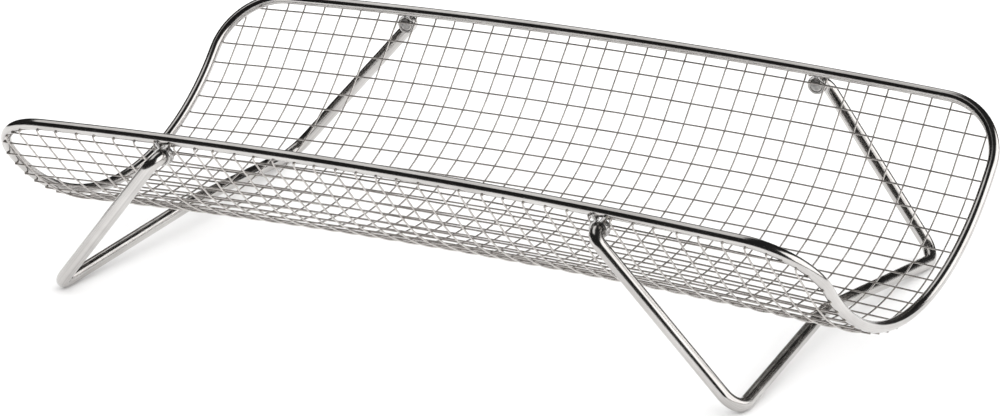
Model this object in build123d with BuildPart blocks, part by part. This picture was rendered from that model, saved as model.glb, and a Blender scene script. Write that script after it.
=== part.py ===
from build123d import *
import os
from math import atan2, cos, pi, radians, sin, sqrt, tan

# A mesh grill basket: an open trough of welded wire mesh in a closed rim wire, on two folding wire legs.
# Millimetres. X runs along the trough, Y from its front to its rear, Z up.
# The origin is on the floor, under the middle of the basket.

# Driving dimensions: the trough
pitch = 10.0            # mesh spacing, both ways
cross_count = 39        # wires bent across the trough
long_count = 26         # wires along it
mesh_wire = 0.8
rim_wire = 5.0
half_length = 198.0     # middle of the trough to the rim's centre line at either end
half_girth = 130.0      # bottom of the trough to the long rim, measured along the sheet
bottom_radius = 120.0   # of the sheet's rounded bottom
flank_angle = 47.0      # slope of the flat flanks
corner_radius = 29.0    # of the rim's four corners
rise = 6.0              # the whole trough arches up this much at its middle
rim_bend_run = 3.0      # straight run between a long rim's flat arc and its corner
tip_run = 2.5           # length of a cross wire's tip, turned in to meet the rim
tip_bend = 3.0

# Driving dimensions: the legs and their hangers
leg_wire = 6.0
hinge_x = 105.0         # middle of the trough to either leg's hinge line
hinge_drop = 6.9        # rim's centre line down to the hinge line
leg_reach = 94.0        # hinge line to the corners of a foot bar
foot_y = 104.0          # middle to a foot bar's corners: the arms lean in towards them
bar_x = 157.0           # middle of the trough to the middle of a foot bar
splay = 40.5            # lean of a leg, outwards from upright
foot_radius = 10.0
bar_crown_radius = 30.0
stub_bend = 5.5         # centre-line radius where a leg turns into its hinge stub
stub_inset = 0.3        # a stub's end stands this far inside the rim's centre line
stub_chamfer = 0.5
strap = 1.2             # thickness of a hanger's strap
strap_width = 3.6

# Clearances
pin_clearance = 0.08    # radial, leg wire in its hanger
side_clearance = 0.4    # hanger to the bend of the leg
weld_gap = 0.04         # wires that are welded stand this far apart
seat_gap = 0.2          # filled by weld metal where a hanger's strap meets the rim
stop_gap = 0.3          # foot bar to the sheet that it stops against

# The sheet's section: a round bottom and two flat flanks. A place on it is given by girth, the distance
# from the bottom along the section, and by depth, the distance inwards from the cross wires' centres.
flank = radians(flank_angle)
flank_start = bottom_radius * flank


def arch(x):
    return rise * (1 - (x / half_length) ** 2)


def section(girth, depth):
    radius = bottom_radius - depth
    if abs(girth) <= flank_start:
        turn = girth / bottom_radius
        return radius * sin(turn), bottom_radius - radius * cos(turn)
    side = 1 if girth > 0 else -1
    run = abs(girth) - flank_start
    y = radius * sin(flank) + run * cos(flank)
    z = bottom_radius - radius * cos(flank) + run * sin(flank)
    return side * y, z


long_depth = mesh_wire + weld_gap
rim_depth = long_depth + (mesh_wire + rim_wire) / 2 + weld_gap
rim_y, rim_z = section(half_girth, rim_depth)

# The hinge line of each leg, and the leg's outline in its own plane: reach is measured from the hinge line.
# The foot bar is crowned, and its middle stops against the underside of the trough.
hinge_z = rim_z + arch(hinge_x) - hinge_drop
lean = radians(splay)
stub_end = rim_y - stub_inset
arm_y = rim_y + strap_width + side_clearance + stub_bend
sheet_under = arch(bar_x) - mesh_wire / 2
crown_reach = (hinge_z - sheet_under + stop_gap + leg_wire / 2) / cos(lean)
bar_rise = atan2(leg_reach - crown_reach, foot_y)
taper = atan2(arm_y - foot_y, leg_reach)
crown_point = crown_reach - bar_crown_radius * (1 / cos(bar_rise) - 1)
foot_turn = pi / 2 + bar_rise - taper
foot_reach = leg_reach - foot_radius * (tan(foot_turn / 2) * cos(taper) + sin(taper) - 1)

# Everything is raised so that the foot bars' corners stand on z = 0.
floor = hinge_z - foot_reach * cos(lean) - leg_wire / 2


def place(x, girth, depth):
    y, z = section(girth, depth)
    return x, y, z + arch(x) - floor


def corner_offset(distance, limit):
    """How far the rim's corner pulls its centre line back, at this distance along the other side."""
    into_corner = abs(distance) - (limit - corner_radius)
    if into_corner <= 0:
        return 0.0
    return corner_radius - sqrt(corner_radius ** 2 - into_corner ** 2)


os.makedirs("parts", exist_ok=True)

# Rim frame: half of the closed wire, mirrored front to rear. Its long side is one very flat arc, from
# arc_end on one side to arc_end on the other, tangent to two straight lines that meet at the apex.
arc_end = half_length - corner_radius - rim_bend_run
apex_rise = rise * half_length / (half_length - arc_end / 2)
apex_radius = arc_end / tan(apex_rise / half_length)
with BuildPart() as rim_frame:
    with BuildLine() as rim_line:
        start = place(-half_length, 0, rim_depth)
        left = place(-half_length, flank_start, rim_depth)
        right = place(half_length, flank_start, rim_depth)
        finish = place(half_length, 0, rim_depth)
        ThreePointArc(start, place(-half_length, flank_start / 2, rim_depth), left)
        FilletPolyline(
            left,
            place(-half_length, half_girth, rim_depth),
            (0, rim_y, rim_z + apex_rise - floor),
            place(half_length, half_girth, rim_depth),
            right,
            radius=[corner_radius, apex_radius, corner_radius],
        )
        ThreePointArc(right, place(half_length, flank_start / 2, rim_depth), finish)
    with BuildSketch(Plane(origin=start, z_dir=(0, 1, 0))):
        Circle(rim_wire / 2)
    sweep()
    mirror(about=Plane.XZ)
rim_frame.part.label = "rim_frame"
export_step(rim_frame.part, "parts/rim_frame.step")

# Long wires: each follows the trough's arch, and its ends are welded under the rim's ends and corners.
for number in range(1, long_count + 1):
    girth = (number - (long_count + 1) / 2) * pitch
    reach = half_length - corner_offset(girth, half_girth)
    with BuildPart() as long_wire:
        with BuildLine() as wire_line:
            ThreePointArc(
                place(-reach, girth, long_depth),
                place(0, girth, long_depth),
                place(reach, girth, long_depth),
            )
        with BuildSketch(Plane(origin=wire_line.line @ 0, z_dir=wire_line.line % 0)):
            Circle(mesh_wire / 2)
        sweep()
    long_wire.part.label = f"long_wire_{number:02d}"
    export_step(long_wire.part, f"parts/long_wire_{number:02d}.step")

# Cross wires: under the long wires, each bent to the section, with its tips turned in to meet the rim.
valley_z = bottom_radius * (1 - 1 / cos(flank))
with BuildPart() as cross_wires:
    for index in range(cross_count):
        x = (index - (cross_count - 1) / 2) * pitch
        top = half_girth - corner_offset(x, half_length)
        with BuildLine() as wire_line:
            FilletPolyline(
                place(x, -top, long_depth),
                place(x, -top + tip_run, 0),
                (x, 0, valley_z + arch(x) - floor),
                place(x, top - tip_run, 0),
                place(x, top, long_depth),
                radius=[tip_bend, bottom_radius, tip_bend],
            )
        with BuildSketch(Plane(origin=wire_line.line @ 0, z_dir=wire_line.line % 0)):
            Circle(mesh_wire / 2)
        sweep(path=wire_line.line)
cross_wires.part.label = "cross_wires"
export_step(cross_wires.part, "parts/cross_wires.step")

# Hangers: a strap bent to a U round the hinge stub, its two ends coped and welded to the underside of the rim.
inner = leg_wire / 2 + pin_clearance
outer = inner + strap
for end, side_x in (("left", -1), ("right", 1)):
    for face, side_y in (("front", -1), ("rear", 1)):
        strap_plane = Plane(
            origin=(side_x * hinge_x, side_y * rim_y, hinge_z - floor),
            x_dir=(side_y, 0, 0),
            z_dir=(0, side_y, 0),
        )
        rim_axis = Location((side_x * hinge_x, side_y * rim_y, rim_z + arch(hinge_x) - floor), (0, 90, 0))
        with BuildPart() as hanger:
            with BuildSketch(strap_plane):
                Circle(outer)
                with Locations((0, -hinge_drop / 2)):
                    Rectangle(2 * outer, hinge_drop)
                Circle(inner, mode=Mode.SUBTRACT)
                with Locations((0, -hinge_drop / 2)):
                    Rectangle(2 * inner, hinge_drop, mode=Mode.SUBTRACT)
            extrude(amount=strap_width)
            with Locations(rim_axis):
                Cylinder(rim_wire / 2 + seat_gap, 4 * outer, mode=Mode.SUBTRACT)
        name = f"hanger_{face}_{end}"
        hanger.part.label = name
        export_step(hanger.part, f"parts/{name}.step")

# Legs: one wire each, with two arms, a foot bar crowned at its middle, and chamfered stubs in the hangers.
for end, side_x in (("left", -1), ("right", 1)):
    leg_plane = Plane(
        origin=(side_x * hinge_x, 0, hinge_z - floor),
        x_dir=(0, 1, 0),
        z_dir=(-cos(lean), 0, -side_x * sin(lean)),
    )
    with BuildPart() as leg:
        with BuildLine(leg_plane) as leg_line:
            FilletPolyline(
                (-stub_end, 0),
                (-arm_y, 0),
                (-foot_y, leg_reach),
                (0, crown_point),
                (foot_y, leg_reach),
                (arm_y, 0),
                (stub_end, 0),
                radius=[stub_bend, foot_radius, bar_crown_radius, foot_radius, stub_bend],
            )
        with BuildSketch(Plane(origin=leg_line.line @ 0, z_dir=leg_line.line % 0)):
            Circle(leg_wire / 2)
        sweep(path=leg_line.line)
        chamfer(leg.faces().filter_by(GeomType.PLANE).edges(), stub_chamfer)
    leg.part.label = f"{end}_leg"
    export_step(leg.part, f"parts/{end}_leg.step")
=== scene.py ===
import random
from math import acos, atan2, ceil, cos, pi, radians, sin, sqrt, tan

import bmesh
import bpy
from mathutils import Matrix, Vector, noise


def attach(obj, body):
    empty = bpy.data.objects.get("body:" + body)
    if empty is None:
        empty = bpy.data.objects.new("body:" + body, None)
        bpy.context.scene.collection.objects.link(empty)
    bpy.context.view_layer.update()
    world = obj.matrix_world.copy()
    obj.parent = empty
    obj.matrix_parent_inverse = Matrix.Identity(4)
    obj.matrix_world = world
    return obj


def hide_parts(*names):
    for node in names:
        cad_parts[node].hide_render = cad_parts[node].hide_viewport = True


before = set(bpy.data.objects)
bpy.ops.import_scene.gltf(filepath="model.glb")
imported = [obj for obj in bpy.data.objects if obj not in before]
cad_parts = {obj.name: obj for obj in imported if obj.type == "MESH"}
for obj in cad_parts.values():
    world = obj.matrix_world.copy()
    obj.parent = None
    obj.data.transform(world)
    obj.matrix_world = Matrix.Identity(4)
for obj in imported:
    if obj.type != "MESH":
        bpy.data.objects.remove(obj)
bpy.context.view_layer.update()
dice = random.Random(40)

# ---------------------------------------------------------------- dimensions, in millimetres, as in part.py
MM = 0.001
pitch = 10.0
cross_count = 39
long_count = 26
mesh_wire = 0.8
rim_wire = 5.0
half_length = 198.0
half_girth = 130.0
bottom_radius = 120.0
flank = radians(47.0)
corner_radius = 29.0
rise = 6.0
leg_wire = 6.0
hinge_x = 105.0
hinge_drop = 6.9
leg_reach = 94.0
foot_y = 104.0
bar_x = 157.0
lean = radians(40.5)
foot_radius = 10.0
bar_crown_radius = 30.0
stub_bend = 5.5
stub_inset = 0.3
stub_chamfer = 0.5
strap = 1.2
strap_width = 3.6
pin_clearance = 0.08
side_clearance = 0.4
weld_gap = 0.04
stop_gap = 0.3

# Looks only
sink = 0.14             # welded mesh wires are pressed this far into each other
tip_sink = 0.35         # and their tips this far into the rim
spacing_slack = 0.45    # how far a mesh wire may be off its pitch
skew_slack = 0.35       # and how much further at its two ends
sheet_wave = 0.35       # depth of the slight waves in the flanks
wire_sides = 12
rod_sides = 40
dip_run = 6.0           # a long wire dips into the rim over this much of each end
turn_in_run = 2.7       # a cross wire turns in to the rim over this much of each end
turn_in_share = 0.3     # of tip_sink, as far as a cross wire's tip goes in
dip_share = 0.6         # and a long wire's
crossing_margin = 1.5   # no weld bead this close to the rim
crossing_bead = 0.45    # half sizes of the bead at a crossing: across, and through the sheet
crossing_bead_depth = 0.22
long_tip_bead = (1.1, 0.58, 0.36)
cross_tip_bead = (0.6, 0.95, 0.36)
tip_lumps = 0.25

flank_start = bottom_radius * flank
long_depth = mesh_wire + weld_gap
rim_depth = long_depth + (mesh_wire + rim_wire) / 2 + weld_gap


# ---------------------------------------------------------------- the sheet's own coordinates
def arch(x):
    """How much higher the trough is at x than at its ends."""
    return rise * (1 - (x / half_length) ** 2)


def section(girth, depth):
    """Where a distance round the sheet and a depth into the trough lie, as y and z."""
    radius = bottom_radius - depth
    if abs(girth) <= flank_start:
        turn = girth / bottom_radius
        return radius * sin(turn), bottom_radius - radius * cos(turn)
    side = 1 if girth > 0 else -1
    run = abs(girth) - flank_start
    y = radius * sin(flank) + run * cos(flank)
    z = bottom_radius - radius * cos(flank) + run * sin(flank)
    return side * y, z


rim_y, rim_z = section(half_girth, rim_depth)
hinge_z = rim_z + arch(hinge_x) - hinge_drop
arm_y = rim_y + strap_width + side_clearance + stub_bend
sheet_under = arch(bar_x) - mesh_wire / 2
crown_reach = (hinge_z - sheet_under + stop_gap + leg_wire / 2) / cos(lean)
bar_rise = atan2(leg_reach - crown_reach, foot_y)
taper = atan2(arm_y - foot_y, leg_reach)
crown_point = crown_reach - bar_crown_radius * (1 / cos(bar_rise) - 1)
foot_turn = pi / 2 + bar_rise - taper
foot_reach = leg_reach - foot_radius * (tan(foot_turn / 2) * cos(taper) + sin(taper) - 1)
floor_z = hinge_z - foot_reach * cos(lean) - leg_wire / 2


def place(x, girth, depth):
    """A point given by the sheet's own coordinates, above the floor."""
    y, z = section(girth, depth)
    return Vector((x, y, z + arch(x) - floor_z))


def corner_offset(distance, limit):
    """How far the rounded corner cuts in at this distance along a side."""
    into_corner = abs(distance) - (limit - corner_radius)
    if into_corner <= 0:
        return 0.0
    return corner_radius - sqrt(max(corner_radius ** 2 - into_corner ** 2, 0.0))


def wave(x, girth):
    """How much deeper the sheet lies here than a flat flank. It fades out towards the rim and the bottom."""
    across = min(max((abs(girth) - 35) / 40, 0), 1) * min((half_girth + 2 - abs(girth)) / 25, 1)
    along = min((half_length + 2 - abs(x)) / 25, 1)
    return sheet_wave * max(across, 0) * max(along, 0) * noise.noise(Vector((x / 38, girth / 30, 5.5)))


# ---------------------------------------------------------------- mesh code
def start_mesh():
    """An empty mesh with the two layers that the steel reads."""
    mesh = bmesh.new()
    mesh.loops.layers.uv.new("UVMap")
    mesh.verts.layers.float.new("heat")
    return mesh


def finish_mesh(mesh, name, materials, body, nodes):
    """Turns the millimetre mesh into a piece that rides on a body and stands for CAD nodes."""
    bmesh.ops.recalc_face_normals(mesh, faces=mesh.faces)
    bmesh.ops.scale(mesh, vec=(MM, MM, MM), verts=mesh.verts)
    data = bpy.data.meshes.new(name)
    mesh.to_mesh(data)
    mesh.free()
    for material in materials:
        data.materials.append(material)
    for polygon in data.polygons:
        polygon.use_smooth = True
    piece = bpy.data.objects.new(name, data)
    bpy.context.scene.collection.objects.link(piece)
    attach(piece, body)
    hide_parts(*nodes)
    return piece


def frames_along(path, closed, start_normal=None):
    """A tangent, a normal and a binormal at each point of a path, turned as little as possible."""
    count = len(path)
    tangents = []
    for i in range(count):
        before = path[(i - 1) % count] if closed or i > 0 else path[i]
        after = path[(i + 1) % count] if closed or i < count - 1 else path[i]
        tangents.append((after - before).normalized())
    normal = start_normal or tangents[0].orthogonal()
    normals = []
    for tangent in tangents:
        normal = (normal - tangent * normal.dot(tangent)).normalized()
        normals.append(normal.copy())
    if closed:
        last = (normals[-1] - tangents[0] * normals[-1].dot(tangents[0])).normalized()
        drift = acos(max(-1.0, min(1.0, last.dot(normals[0]))))
        if last.cross(normals[0]).dot(tangents[0]) < 0:
            drift = -drift
        for i in range(count):
            turn = Matrix.Rotation(drift * i / count, 3, tangents[i])
            normals[i] = turn @ normals[i]
    return tangents, normals, [t.cross(n) for t, n in zip(tangents, normals)]


def circle_section(radius, sides):
    """A round wire's section, as (normal, binormal) pairs."""
    return [(radius * cos(2 * pi * k / sides), radius * sin(2 * pi * k / sides)) for k in range(sides)]


def strap_section(thickness, width, edge):
    """A rectangle with rounded edges: thickness along the normal, width along the binormal."""
    points = []
    for corner_n, corner_b, first in ((1, 1, 0), (-1, 1, 1), (-1, -1, 2), (1, -1, 3)):
        for k in range(5):
            angle = (first + k / 4) * pi / 2
            n = corner_n * (thickness / 2 - edge) + edge * cos(angle)
            b = corner_b * (width / 2 - edge) + edge * sin(angle)
            points.append((n, b))
    return points


def sweep(mesh, path, shape, closed=False, ends=((0, 1),), scale=None, heat=None, start_normal=None,
          material=0, end_material=0):
    """Sweeps a closed shape along a path. ends lists the rings that close an open end, as (inset, share of
    the shape's size), from the outermost; scale and heat are functions of a point on the path, heat being
    heat tint and painted shade."""
    uv = mesh.loops.layers.uv.active
    heat_and_shade_layer = mesh.verts.layers.float["heat"]
    tangents, normals, binormals = frames_along(path, closed, start_normal)
    stations = []
    length = 0.0
    for i, point in enumerate(path):
        if i:
            length += (point - path[i - 1]).length
        size = scale(point) if scale else 1.0
        stations.append((point, i, size, length))
    if not closed:
        first, last = stations[0], stations[-1]
        head = [(first[0] + tangents[0] * inset, 0, first[2] * share, first[3] + inset)
                for inset, share in ends]
        tail = [(last[0] - tangents[-1] * inset, last[1], last[2] * share, last[3] - inset)
                for inset, share in reversed(ends)]
        deepest = ends[-1][0]
        middle = [s for s in stations[1:-1] if deepest < s[3] < length - deepest]
        stations = head + middle + tail
    rings = []
    for point, i, size, along in stations:
        heat_and_shade_level = heat(point) if heat else 0.0
        ring = []
        for n, b in shape:
            vertex = mesh.verts.new(point + normals[i] * (n * size) + binormals[i] * (b * size))
            vertex[heat_and_shade_layer] = heat_and_shade_level
            ring.append(vertex)
        rings.append((ring, along))
    sides = len(shape)
    spans = list(zip(rings, rings[1:]))
    if closed:
        spans.append((rings[-1], (rings[0][0], length + (path[0] - path[-1]).length)))
    for (ring, along), (following, further) in spans:
        for k in range(sides):
            after = (k + 1) % sides
            face = mesh.faces.new((ring[k], ring[after], following[after], following[k]))
            face.material_index = material
            for loop, (u, v) in zip(face.loops, ((along, k), (along, k + 1), (further, k + 1), (further, k))):
                loop[uv].uv = (u / 1000, v / sides)
    if not closed:
        for ring, along in (rings[0], rings[-1]):
            cap = mesh.faces.new(ring)
            cap.material_index = end_material
            for k, loop in enumerate(cap.loops):
                loop[uv].uv = (along / 1000, k / sides)


def bead(mesh, centre, axes, radii, material=0, heat=1.0, sides=8, lump=0.0):
    """A small rounded lump of weld metal. axes are three unit vectors and radii its half sizes along them."""
    uv = mesh.loops.layers.uv.active
    heat_and_shade_layer = mesh.verts.layers.float["heat"]

    def vertex_at(direction):
        swell = 1 + lump * noise.noise(centre * 3 + direction * 1.7)
        offset = sum((axis * (radius * part) for axis, radius, part in zip(axes, radii, direction)), Vector())
        vertex = mesh.verts.new(centre + offset * swell)
        vertex[heat_and_shade_layer] = heat
        return vertex

    stacks = sides // 2
    rings = []
    for i in range(1, stacks):
        polar = pi * i / stacks
        rings.append([
            vertex_at(Vector((sin(polar) * cos(2 * pi * k / sides),
                              sin(polar) * sin(2 * pi * k / sides), cos(polar))))
            for k in range(sides)
        ])
    top = vertex_at(Vector((0, 0, 1)))
    bottom = vertex_at(Vector((0, 0, -1)))
    faces = []
    for k in range(sides):
        after = (k + 1) % sides
        faces.append(mesh.faces.new((top, rings[0][k], rings[0][after])))
        faces.append(mesh.faces.new((bottom, rings[-1][after], rings[-1][k])))
        for ring, following in zip(rings, rings[1:]):
            faces.append(mesh.faces.new((ring[k], following[k], following[after], ring[after])))
    for face in faces:
        face.material_index = material
        for loop in face.loops:
            offset = loop.vert.co - centre
            loop[uv].uv = ((centre.x + offset.x) / 1000, (offset.y + offset.z) / 10)


def rounded_path(corners, radii, step):
    """Straight runs between corners, with a circular bend of the given radius at each inner corner."""
    path = [corners[0]]
    for before, corner, after, radius in zip(corners, corners[1:], corners[2:], radii):
        into = (corner - before).normalized()
        out = (after - corner).normalized()
        turn = acos(max(-1.0, min(1.0, into.dot(out))))
        setback = radius * tan(turn / 2)
        centre = corner + (out - into).normalized() * (radius / cos(turn / 2))
        start = corner - into * setback
        spoke = start - centre
        axis = into.cross(out).normalized()
        count = max(4, ceil(turn / radians(5)))
        path += run_between(path[-1], start, step)
        path += [centre + Matrix.Rotation(turn * k / count, 3, axis) @ spoke for k in range(1, count + 1)]
    return path + run_between(path[-1], corners[-1], step)


def run_between(start, end, step):
    """Points from just after start to end."""
    count = max(1, ceil((end - start).length / step))
    return [start.lerp(end, k / count) for k in range(1, count + 1)]


# ---------------------------------------------------------------- materials
def material_tree(name):
    """A material with one bare shader, ready for its nodes."""
    material = bpy.data.materials.new(name)
    material.use_nodes = True
    tree = material.node_tree
    tree.nodes.clear()
    output = tree.nodes.new("ShaderNodeOutputMaterial")
    shader = tree.nodes.new("ShaderNodeBsdfPrincipled")
    tree.links.new(shader.outputs["BSDF"], output.inputs["Surface"])
    return material, tree, shader


def add_node(tree, kind, inputs=None, **settings):
    """Adds a node, sets its properties, and fills or links its inputs."""
    node = tree.nodes.new(kind)
    for key, value in settings.items():
        setattr(node, key, value)
    for key, value in (inputs or {}).items():
        if isinstance(value, bpy.types.NodeSocket):
            tree.links.new(value, node.inputs[key])
        else:
            node.inputs[key].default_value = value
    return node


def ramp(tree, factor, stops):
    """A colour ramp with the given (position, colour) stops."""
    node = add_node(tree, "ShaderNodeValToRGB", {"Fac": factor})
    elements = node.color_ramp.elements
    while len(elements) < len(stops):
        elements.new(0.5)
    for element, (position, colour) in zip(elements, stops):
        element.position = position
        element.color = (*colour, 1)
    return node.outputs["Color"]


def span(tree, value, low, high):
    """Spreads the middle of a noise's range over low to high."""
    return add_node(tree, "ShaderNodeMapRange", {"Value": value, "From Min": 0.3, "From Max": 0.7,
                                                 "To Min": low, "To Max": high}).outputs["Result"]


def round_the_wire(tree, along, around):
    """Coordinates that run along a wire and wrap round it without a seam."""
    wire = add_node(tree, "ShaderNodeUVMap", uv_map="UVMap")
    parts = add_node(tree, "ShaderNodeSeparateXYZ", {"Vector": wire.outputs["UV"]})
    length = add_node(tree, "ShaderNodeMath", {0: parts.outputs["X"], 1: along}, operation="MULTIPLY")
    angle = add_node(tree, "ShaderNodeMath", {0: parts.outputs["Y"], 1: 2 * pi}, operation="MULTIPLY")
    sine = add_node(tree, "ShaderNodeMath", {0: angle.outputs[0]}, operation="SINE")
    cosine = add_node(tree, "ShaderNodeMath", {0: angle.outputs[0]}, operation="COSINE")
    wrapped = add_node(tree, "ShaderNodeCombineXYZ",
                       {"X": length.outputs[0], "Y": sine.outputs[0], "Z": cosine.outputs[0]})
    scaled = add_node(tree, "ShaderNodeVectorMath", {0: wrapped.outputs[0], 1: (1, around, around)},
                      operation="MULTIPLY")
    return scaled.outputs[0]


# Polished wire at its darkest and lightest, and what heat tint multiplies it by as it deepens. The same stops
# also paint shade on the legs' stubs and on the rim beside the hangers.
STEEL_DARK = (0.40, 0.385, 0.375)
STEEL_LIGHT = (0.64, 0.625, 0.61)
HEAT_AND_SHADE_STOPS = ((0.0, (1.0, 1.0, 1.0)), (0.35, (0.88, 0.80, 0.69)), (0.6, (0.62, 0.53, 0.50)),
              (0.8, (0.46, 0.47, 0.54)), (1.0, (0.22, 0.215, 0.235)))


def steel(name, dark, light, rough, draw_lines, line_depth, blotch_scale):
    """Cold-drawn stainless wire: fine lines along it, a patchy polish, and heat tint near its welds, which
    also paints shade on the legs' stubs and on the rim beside the hangers.
    draw_lines is their number round the wire, line_depth their depth in metres."""
    material, tree, shader = material_tree(name)
    lines = add_node(tree, "ShaderNodeTexNoise", {
        "Vector": round_the_wire(tree, 9, draw_lines), "Scale": 1.0, "Detail": 6.0, "Roughness": 0.62})
    where = add_node(tree, "ShaderNodeTexCoord")
    patches = add_node(tree, "ShaderNodeTexNoise", {
        "Vector": where.outputs["Object"], "Scale": blotch_scale, "Detail": 4.0, "Roughness": 0.55})
    grain = add_node(tree, "ShaderNodeTexNoise", {
        "Vector": where.outputs["Object"], "Scale": 2600.0, "Detail": 2.0, "Roughness": 0.6})
    heat_and_shade_level = add_node(tree, "ShaderNodeAttribute", attribute_name="heat")

    streaky = add_node(tree, "ShaderNodeMix", {
        "Factor": 0.45, 2: lines.outputs["Fac"], 3: patches.outputs["Fac"]}, data_type="FLOAT")
    colour = ramp(tree, streaky.outputs[0], ((0.36, dark), (0.62, light)))
    tint_and_shade = ramp(tree, heat_and_shade_level.outputs["Fac"], HEAT_AND_SHADE_STOPS)
    tinted_and_shaded = add_node(tree, "ShaderNodeMix", {"Factor": 1.0, 6: colour, 7: tint_and_shade},
                      data_type="RGBA", blend_type="MULTIPLY")
    tree.links.new(tinted_and_shaded.outputs[2], shader.inputs["Base Color"])

    polish = span(tree, lines.outputs["Fac"], rough * 0.72, rough * 1.25)
    worn = span(tree, patches.outputs["Fac"], -0.03, 0.05)
    dulled = add_node(tree, "ShaderNodeMath", {0: heat_and_shade_level.outputs["Fac"], 1: 0.16}, operation="MULTIPLY")
    total = add_node(tree, "ShaderNodeMath", {0: polish, 1: worn}, operation="ADD")
    total = add_node(tree, "ShaderNodeMath", {0: total.outputs[0], 1: dulled.outputs[0]}, operation="ADD",
                     use_clamp=True)
    tree.links.new(total.outputs[0], shader.inputs["Roughness"])

    scratch = add_node(tree, "ShaderNodeBump", {
        "Strength": 0.35, "Distance": line_depth, "Height": lines.outputs["Fac"]})
    grainy = add_node(tree, "ShaderNodeBump", {
        "Strength": 0.12, "Distance": line_depth * 0.6, "Height": grain.outputs["Fac"],
        "Normal": scratch.outputs["Normal"]})
    tree.links.new(grainy.outputs["Normal"], shader.inputs["Normal"])
    shader.inputs["Metallic"].default_value = 1.0
    return material


def weld_metal(name):
    """Weld metal: rippled, duller, and tinted straw to blue by the heat."""
    material, tree, shader = material_tree(name)
    where = add_node(tree, "ShaderNodeTexCoord")
    lumps = add_node(tree, "ShaderNodeTexNoise", {
        "Vector": where.outputs["Object"], "Scale": 700.0, "Detail": 4.0, "Roughness": 0.6})
    tints = add_node(tree, "ShaderNodeTexNoise", {
        "Vector": where.outputs["Object"], "Scale": 160.0, "Detail": 3.0, "Roughness": 0.5})
    colour = ramp(tree, tints.outputs["Fac"], (
        (0.32, (0.20, 0.195, 0.21)), (0.44, (0.40, 0.38, 0.36)), (0.56, (0.52, 0.485, 0.44)),
        (0.68, (0.32, 0.28, 0.245))))
    tree.links.new(colour, shader.inputs["Base Color"])
    tree.links.new(span(tree, lumps.outputs["Fac"], 0.22, 0.44), shader.inputs["Roughness"])
    ripples = add_node(tree, "ShaderNodeBump", {
        "Strength": 0.5, "Distance": 0.00015, "Height": lumps.outputs["Fac"]})
    tree.links.new(ripples.outputs["Normal"], shader.inputs["Normal"])
    shader.inputs["Metallic"].default_value = 1.0
    return material


def cut_face(name):
    """The sheared end of a wire: matt, with coarse parallel marks."""
    material, tree, shader = material_tree(name)
    where = add_node(tree, "ShaderNodeTexCoord")
    marks = add_node(tree, "ShaderNodeTexWave", {
        "Vector": where.outputs["Object"], "Scale": 900.0, "Distortion": 2.5, "Detail": 2.0,
        "Detail Scale": 2.0}, wave_type="BANDS", bands_direction="DIAGONAL")
    stains = add_node(tree, "ShaderNodeTexNoise", {
        "Vector": where.outputs["Object"], "Scale": 500.0, "Detail": 3.0})
    colour = ramp(tree, stains.outputs["Fac"], ((0.35, (0.34, 0.33, 0.33)), (0.65, (0.60, 0.59, 0.58))))
    tree.links.new(colour, shader.inputs["Base Color"])
    tree.links.new(span(tree, marks.outputs["Fac"], 0.32, 0.5), shader.inputs["Roughness"])
    furrows = add_node(tree, "ShaderNodeBump", {
        "Strength": 0.4, "Distance": 0.0001, "Height": marks.outputs["Fac"]})
    tree.links.new(furrows.outputs["Normal"], shader.inputs["Normal"])
    shader.inputs["Metallic"].default_value = 1.0
    return material


rim_steel = steel("rim_steel", STEEL_DARK, STEEL_LIGHT, 0.15, 7, 0.00003, 35.0)
leg_steel = steel("leg_steel", STEEL_DARK, STEEL_LIGHT, 0.17, 7, 0.00003, 30.0)
cross_steel = steel("cross_wire_steel", (0.38, 0.355, 0.34), (0.66, 0.635, 0.61), 0.22, 3, 0.00002, 120.0)
# The long wires' steel is a darker copy of the cross wires' steel: painted shade, as both are the same mesh
# wire.
long_steel_painted_shade = steel("long_wire_steel_painted_shade", (0.31, 0.29, 0.275), (0.55, 0.525, 0.50), 0.22, 3, 0.00002, 120.0)
strap_steel = steel("strap_steel", (0.46, 0.45, 0.44), (0.70, 0.69, 0.68), 0.24, 4, 0.00003, 90.0)
weld_steel = weld_metal("weld_steel")
cut_steel = cut_face("cut_steel")

# ---------------------------------------------------------------- where each mesh wire runs
# A cross wire keeps to x = cross[0] + cross[1] * girth, and a long wire to girth = long[0] + long[1] * x.
cross_lines = []
for index in range(cross_count):
    middle = (index - (cross_count - 1) / 2) * pitch
    cross_lines.append((middle + dice.uniform(-1, 1) * spacing_slack,
                        dice.uniform(-1, 1) * skew_slack / half_girth))
long_lines = []
for index in range(long_count):
    middle = (index - (long_count - 1) / 2) * pitch
    edge = index in (0, long_count - 1)
    slack = 0.1 if edge else 1.0
    long_lines.append((middle + dice.uniform(-1, 1) * spacing_slack * slack,
                       dice.uniform(-1, 1) * skew_slack * slack / half_length))

pressed_depth = long_depth - sink


def crossing(cross, long):
    """Where a cross wire and a long wire meet."""
    x = cross[0]
    for _ in range(3):
        girth = long[0] + long[1] * x
        x = cross[0] + cross[1] * girth
    return x, girth


def within_rim(x, girth, margin):
    """Whether a place on the sheet is inside the rim by this margin."""
    return (abs(girth) < half_girth - corner_offset(x, half_length) - margin
            and abs(x) < half_length - corner_offset(girth, half_girth) - margin)


def sheet_axes(x, girth):
    """Along the trough, up the section, and into the trough, at a place on the sheet."""
    up = (place(x, girth + 0.5, 0) - place(x, girth - 0.5, 0)).normalized()
    along = (place(x + 0.5, girth, 0) - place(x - 0.5, girth, 0)).normalized()
    return along, up, along.cross(up).normalized()


# Rings that round off a cut end, as (inset, share of the full size)
WIRE_ENDS = ((0.0, 0.72), (0.05, 0.9), (0.18, 1.0))


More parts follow.
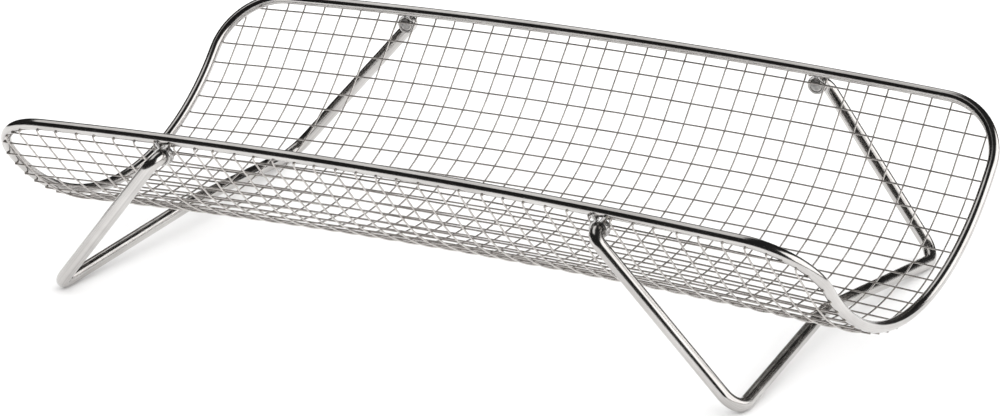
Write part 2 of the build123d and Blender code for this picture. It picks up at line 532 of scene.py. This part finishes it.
# ---------------------------------------------------------------- long wires, with a weld at every crossing
def make_long_wire(index):
    """A long wire, with the weld beads of all its crossings and its two tips."""
    middle, skew = long_lines[index]
    mesh = start_mesh()
    reach = half_length - corner_offset(middle, half_girth) + 0.3
    count = ceil(2 * reach / dip_run)
    path = []
    for k in range(count + 1):
        x = reach * (2 * k / count - 1)
        girth = middle + skew * x
        lift = max(0.0, 1 - (reach - abs(x)) / dip_run) * tip_sink * dip_share
        path.append(place(x, girth, pressed_depth + wave(x, girth) + lift))
    sweep(mesh, path, circle_section(mesh_wire / 2, wire_sides), ends=WIRE_ENDS, end_material=2)
    for cross in cross_lines:
        x, girth = crossing(cross, (middle, skew))
        if not within_rim(x, girth, crossing_margin):
            continue
        along, up, inward = sheet_axes(x, girth)
        centre = place(x, girth, wave(x, girth) + pressed_depth / 2)
        wide = crossing_bead + dice.uniform(-0.03, 0.05)
        bead(mesh, centre, (along, up, inward), (wide, wide, crossing_bead_depth), material=1)
    for side in (-1, 1):
        x = side * (reach - 0.2)
        girth = middle + skew * x
        along, up, inward = sheet_axes(x, girth)
        centre = place(x - side * 0.5, girth, pressed_depth + 0.6)
        bead(mesh, centre, (along, up, inward), long_tip_bead, material=1, lump=tip_lumps)
    node = f"long_wire_{index + 1:02d}"
    return finish_mesh(mesh, f"mesh_{node}", (long_steel_painted_shade, weld_steel, cut_steel), "basket", [node])


# ---------------------------------------------------------------- cross wires, bent to the section
def make_cross_wire(index):
    """A cross wire, turned in at its two tips to meet the rim."""
    middle, skew = cross_lines[index]
    mesh = start_mesh()
    top = half_girth - corner_offset(middle, half_length) + 0.2
    count = ceil(2 * top / 4)
    girths = [top * (2 * k / count - 1) for k in range(1, count)]
    girths = [-top, -top + 0.9, -top + 1.8, -top + 2.7] + [g for g in girths if abs(g) < top - 3.4]
    girths += [top - 2.7, top - 1.8, top - 0.9, top]
    path = []
    for girth in girths:
        x = middle + skew * girth
        turned_in = max(0.0, 1 - (top - abs(girth)) / turn_in_run)
        depth = wave(x, girth) + (pressed_depth + tip_sink * turn_in_share) * turned_in ** 1.5
        path.append(place(x, girth, depth))
    sweep(mesh, path, circle_section(mesh_wire / 2, wire_sides), ends=WIRE_ENDS, end_material=2)
    for side in (-1, 1):
        girth = side * (top - 0.3)
        x = middle + skew * girth
        along, up, inward = sheet_axes(x, girth)
        centre = place(x, girth - side * 0.4, pressed_depth + 0.55)
        bead(mesh, centre, (along, up, inward), cross_tip_bead, material=1, lump=tip_lumps)
    return finish_mesh(mesh, f"mesh_cross_wire_{index + 1:02d}", (cross_steel, weld_steel, cut_steel),
                       "basket", ["cross_wires"])


# ---------------------------------------------------------------- rim
seam_x = 14.0           # the rim's butt weld, in its rear long side
seam_run = 1.6
seam_swell = 0.03
hanger_heat_and_shade = 11.0      # how far along the rim the darkening at the hangers shows: heat tint from their welds, and painted shade beside the straps
seam_heat = 7.0         # and the seam's
fine_step = 0.8         # the rear side, with the seam, has its rings this close
plain_step = 4.0
corner_steps = 18


def rim_path():
    """The closed rim: a rounded rectangle on the sheet."""
    outline = []
    straight_x = half_length - corner_radius
    straight_g = half_girth - corner_radius
    for side_x, side_g, first in ((1, 1, 0), (-1, 1, 1), (-1, -1, 2), (1, -1, 3)):
        for k in range(corner_steps + 1):
            angle = (first + k / corner_steps) * pi / 2
            outline.append((side_x * straight_x + corner_radius * cos(angle),
                            side_g * straight_g + corner_radius * sin(angle)))
    path = []
    for (x, girth), (next_x, next_girth) in zip(outline, outline[1:] + outline[:1]):
        run = max(abs(next_x - x), abs(next_girth - girth))
        has_seam = run > 100 and girth > 0 and abs(girth - next_girth) < 1
        step = fine_step if has_seam else plain_step
        count = max(1, ceil(run / step))
        for k in range(count):
            t = k / count
            path.append(place(x + (next_x - x) * t, girth + (next_girth - girth) * t, rim_depth))
    return path


def make_rim():
    """The closed rim wire, a little swollen at its butt weld."""
    mesh = start_mesh()

    def swell(point):
        if point.y < rim_y * 0.9:
            return 1.0
        return 1.0 + seam_swell * max(0.0, 1 - ((point.x - seam_x) / seam_run) ** 2)

    def heat(point):
        if abs(point.y) < rim_y * 0.97:
            return 0.0
        # Near each hanger the rim is darkened, most at its middle: heat tint from the hanger's welds, and
        # painted shade where the strap shades the rim.
        near = max(0.0, 1 - abs(abs(point.x) - hinge_x) / hanger_heat_and_shade) ** 1.2
        seam = max(0.0, 1 - abs(point.x - seam_x) / seam_heat) if point.y > 0 else 0.0
        return max(near, seam * 0.4)

    sweep(mesh, rim_path(), circle_section(rim_wire / 2, rod_sides), closed=True, scale=swell, heat=heat)
    return finish_mesh(mesh, "rim_wire", (rim_steel,), "basket", ["rim_frame"])


# ---------------------------------------------------------------- hangers
# Weld beads on a hanger's foot: the angle round the rim from its outer side, the place along it, half sizes
FOOT_WELDS = ((-84, 2.9, (0.8, 1.1, 0.45)), (-52, 3.6, (0.7, 1.0, 0.5)), (-24, 3.9, (0.6, 0.8, 0.4)))
NECK = radians(62)      # how far up each side the strap hugs the stub
HUG_STEPS = 22
FOOT_SPREAD = 3.1
STRAP_EDGE = 0.28       # rounding of the strap's edges
STRAP_ENDS = ((0.0, 0.86), (0.08, 0.95), (0.25, 1.0))


def bezier(points, count):
    """Points after the first along one cubic curve."""
    a, b, c, d = points
    curve = []
    for k in range(1, count + 1):
        t = k / count
        curve.append(a * (1 - t) ** 3 + b * (3 * t * (1 - t) ** 2) + c * (3 * t * t * (1 - t)) + d * t ** 3)
    return curve


def make_hanger(end, face):
    """A strap that hugs the stub, is pinched above it, and spreads to two feet welded to the rim."""
    side_x = 1 if end == "right" else -1
    side_y = 1 if face == "rear" else -1
    pin = Vector((side_x * hinge_x, side_y * (rim_y + strap_width / 2), hinge_z - floor_z))
    radius = leg_wire / 2 + pin_clearance + strap / 2
    foot = Vector((FOOT_SPREAD, 0, hinge_drop - 0.5))
    shoulder = Vector((radius * cos(NECK), 0, radius * sin(NECK)))
    onward = Vector((-sin(NECK), 0, cos(NECK)))
    half = [Vector((radius * sin(turn), 0, -radius * cos(turn)))
            for turn in ((pi / 2 + NECK) * k / HUG_STEPS for k in range(HUG_STEPS + 1))]
    half += bezier((shoulder, shoulder + onward * 1.3, foot - Vector((0.7, 0, 1.9)), foot), 10)
    path = [pin + Vector((-point.x, 0, point.z)) for point in reversed(half[1:])]
    path += [pin + point for point in half]
    mesh = start_mesh()

    def heat(point):
        return 0.25 + 0.6 * max(0.0, (point.z - pin.z) / foot.z)

    sweep(mesh, path, strap_section(strap, strap_width, STRAP_EDGE), ends=STRAP_ENDS,
          start_normal=Vector((1, 0, 0)), heat=heat)
    rim_axis = Vector((pin.x, side_y * rim_y, rim_z + arch(hinge_x) - floor_z))
    for side in (-1, 1):
        for angle, along, sizes in FOOT_WELDS:
            turn = radians(angle)
            out = Vector((0, side_y * cos(turn), sin(turn)))
            round_rim = Vector((0, -side_y * sin(turn), cos(turn)))
            centre = rim_axis + out * (rim_wire / 2 + 0.1) + Vector((side * along, 0, 0))
            bead(mesh, centre, (Vector((1, 0, 0)), round_rim, out), sizes, material=1, sides=14, lump=0.35)
    node = f"hanger_{face}_{end}"
    return finish_mesh(mesh, f"strap_{node}", (strap_steel, weld_steel), "basket", [node])


# ---------------------------------------------------------------- legs
def make_leg(end):
    """One wire bent to a U with a crowned foot bar, and its two ends turned in as hinge stubs."""
    side_x = 1 if end == "right" else -1

    def in_leg(y, reach):
        return Vector((side_x * (hinge_x + reach * sin(lean)), y, hinge_z - floor_z - reach * cos(lean)))

    stub_end = rim_y - stub_inset
    corners = [in_leg(-stub_end, 0), in_leg(-arm_y, 0), in_leg(-foot_y, leg_reach), in_leg(0, crown_point),
               in_leg(foot_y, leg_reach), in_leg(arm_y, 0), in_leg(stub_end, 0)]
    path = rounded_path(corners, (stub_bend, foot_radius, bar_crown_radius, foot_radius, stub_bend), 5)
    mesh = start_mesh()
    chamfer_share = 1 - 2 * stub_chamfer / leg_wire
    ends = ((0.0, chamfer_share - 0.03), (0.03, chamfer_share), (0.26, chamfer_share + 0.10),
            (stub_chamfer, 0.985), (stub_chamfer + 0.12, 1.0))

    # Painted shade: the stubs inside and just beside the hanger straps are darkened and dulled through the
    # heat tint layer, though no weld is there.
    def heat(point):
        return 0.8 * min(max((arm_y - 1 - abs(point.y)) / 5, 0), 1)

    sweep(mesh, path, circle_section(leg_wire / 2, rod_sides), ends=ends, heat=heat, end_material=1)
    return finish_mesh(mesh, f"wire_{end}_leg", (leg_steel, cut_steel), f"{end}_leg", [f"{end}_leg"])


for index in range(long_count):
    make_long_wire(index)
for index in range(cross_count):
    make_cross_wire(index)
make_rim()
for end in ("left", "right"):
    make_leg(end)
    for face in ("front", "rear"):
        make_hanger(end, face)


# ---------------------------------------------------------------- floor and light
# A sheet of white card, in metres; its front edge is a little in front of the object
FLOOR_WIDTH = 2.6
FLOOR_FRONT = -0.38
FLOOR_DEPTH = 1.9

# The lights' edges, as x or y on a ceiling one unit above the object
RIGHT_EDGE = 0.78
LEFT_SIDE = -0.95
LEFT_EDGE = -0.28
LEFT_FRONT = -0.4
LEFT_BACK = 1.25
# The right light comes down to the floor, and these two are its ends, as y over x in plan
RIGHT_FRONT = -0.68
RIGHT_BACK = 1.5
# How bright each is in reflections: the two lights, what lies below the card's edge, and the dark room
RIGHT_LIGHT = 1.95
LEFT_LIGHT = 1.05
TABLE_LIGHT = 0.06
ROOM_LIGHT = 0.02
# The even light that falls on matt surfaces
FLOOR_LIGHT = 1.38


def make_floor():
    """The card, white with a faint cloudiness."""
    data = bpy.data.meshes.new("floor")
    mesh = bmesh.new()
    bmesh.ops.create_grid(mesh, x_segments=8, y_segments=8, size=0.5)
    for vert in mesh.verts:
        vert.co.x *= FLOOR_WIDTH
        vert.co.y = FLOOR_FRONT + (vert.co.y + 0.5) * FLOOR_DEPTH
    mesh.to_mesh(data)
    mesh.free()
    material, tree, shader = material_tree("paper")
    where = add_node(tree, "ShaderNodeTexCoord")
    fibres = add_node(tree, "ShaderNodeTexNoise", {
        "Vector": where.outputs["Object"], "Scale": 40.0, "Detail": 3.0})
    whites = ramp(tree, fibres.outputs["Fac"], ((0.3, (0.93, 0.93, 0.93)), (0.7, (0.95, 0.95, 0.95))))
    tree.links.new(whites, shader.inputs["Base Color"])
    shader.inputs["Roughness"].default_value = 0.9
    shader.inputs["Specular IOR Level"].default_value = 0.0
    data.materials.append(material)
    floor = bpy.data.objects.new("floor", data)
    bpy.context.scene.collection.objects.link(floor)


def math_node(tree, operation, first, second):
    return add_node(tree, "ShaderNodeMath", {0: first, 1: second}, operation=operation).outputs[0]


def soft_step(tree, value, start, end):
    """Nothing before start, one after end."""
    return add_node(tree, "ShaderNodeMapRange", {
        "Value": value, "From Min": start, "From Max": end, "To Min": 0.0, "To Max": 1.0,
    }, interpolation_type="SMOOTHSTEP").outputs["Result"]


def window(tree, value, low, high, blur):
    """One between low and high, nothing outside, with soft edges."""
    return math_node(tree, "MULTIPLY", soft_step(tree, value, low - blur, low + blur),
                     soft_step(tree, value, high + blur, high - blur))


def make_studio():
    """A product studio. Reflections see a big soft light on the right, a dimmer one overhead on the left,
    and a dark room. Matt surfaces get even light from all round, and the background itself is white."""
    world = bpy.data.worlds.new("studio")
    bpy.context.scene.world = world
    world.use_nodes = True
    tree = world.node_tree
    tree.nodes.clear()
    where = add_node(tree, "ShaderNodeTexCoord")
    parts = add_node(tree, "ShaderNodeSeparateXYZ", {"Vector": where.outputs["Generated"]})
    x, y, z = (parts.outputs[axis] for axis in "XYZ")
    height = math_node(tree, "MAXIMUM", z, 0.001)
    over_x = math_node(tree, "DIVIDE", x, height)
    over_y = math_node(tree, "DIVIDE", y, height)
    aside = math_node(tree, "DIVIDE", y, math_node(tree, "MAXIMUM", x, 0.001))
    right = math_node(tree, "MULTIPLY", window(tree, over_x, RIGHT_EDGE, 100.0, 0.1),
                      window(tree, aside, RIGHT_FRONT, RIGHT_BACK, 0.1))
    right = math_node(tree, "MULTIPLY", right, soft_step(tree, z, 0.02, 0.1))
    left = math_node(tree, "MULTIPLY", window(tree, over_x, LEFT_SIDE, LEFT_EDGE, 0.08),
                     window(tree, over_y, LEFT_FRONT, LEFT_BACK, 0.08))
    below = soft_step(tree, z, 0.0, -0.03)
    light = math_node(tree, "ADD", math_node(tree, "MULTIPLY", right, RIGHT_LIGHT),
                      math_node(tree, "MULTIPLY", left, LEFT_LIGHT))
    light = math_node(tree, "ADD", light, math_node(tree, "MULTIPLY", below, TABLE_LIGHT))
    light = math_node(tree, "ADD", light, ROOM_LIGHT)
    seen = add_node(tree, "ShaderNodeLightPath")
    even = math_node(tree, "MAXIMUM", seen.outputs["Is Camera Ray"],
                     math_node(tree, "MULTIPLY", seen.outputs["Is Diffuse Ray"], FLOOR_LIGHT))
    room = add_node(tree, "ShaderNodeBackground", {"Color": (1.0, 0.992, 0.985, 1), "Strength": light})
    fill = add_node(tree, "ShaderNodeBackground", {"Color": (1, 1, 1, 1), "Strength": even})
    direct = math_node(tree, "MAXIMUM", seen.outputs["Is Camera Ray"], seen.outputs["Is Diffuse Ray"])
    mixed = add_node(tree, "ShaderNodeMixShader", {0: direct, 1: room.outputs[0], 2: fill.outputs[0]})
    output = add_node(tree, "ShaderNodeOutputWorld")
    tree.links.new(mixed.outputs[0], output.inputs["Surface"])


make_floor()
make_studio()
bpy.context.scene.view_settings.view_transform = "Standard"
bpy.context.scene.view_settings.look = "None"


# ---------------------------------------------------------------- camera
CAMERA_AT = (0.9169, -1.7146, 0.7108)
AZIMUTH = radians(28.81)
ELEVATION = radians(19.31)
ROLL = radians(-0.74)


def make_camera():
    """A long lens, looking down on the object from its front right."""
    back = Vector((sin(AZIMUTH) * cos(ELEVATION), -cos(AZIMUTH) * cos(ELEVATION), sin(ELEVATION)))
    right = Vector((cos(AZIMUTH), sin(AZIMUTH), 0))
    up = back.cross(right)
    rolled_right = right * cos(ROLL) + up * sin(ROLL)
    rolled_up = up * cos(ROLL) - right * sin(ROLL)
    data = bpy.data.cameras.new("camera")
    data.sensor_width = 36.0
    data.lens = 167.7
    data.shift_x = 0.0536
    data.shift_y = 0.0068
    data.clip_start = 0.05
    data.clip_end = 50.0
    camera = bpy.data.objects.new("camera", data)
    camera.matrix_world = Matrix((
        (rolled_right.x, rolled_up.x, back.x, CAMERA_AT[0]),
        (rolled_right.y, rolled_up.y, back.y, CAMERA_AT[1]),
        (rolled_right.z, rolled_up.z, back.z, CAMERA_AT[2]),
        (0, 0, 0, 1)))
    bpy.context.scene.collection.objects.link(camera)
    bpy.context.scene.camera = camera


make_camera()
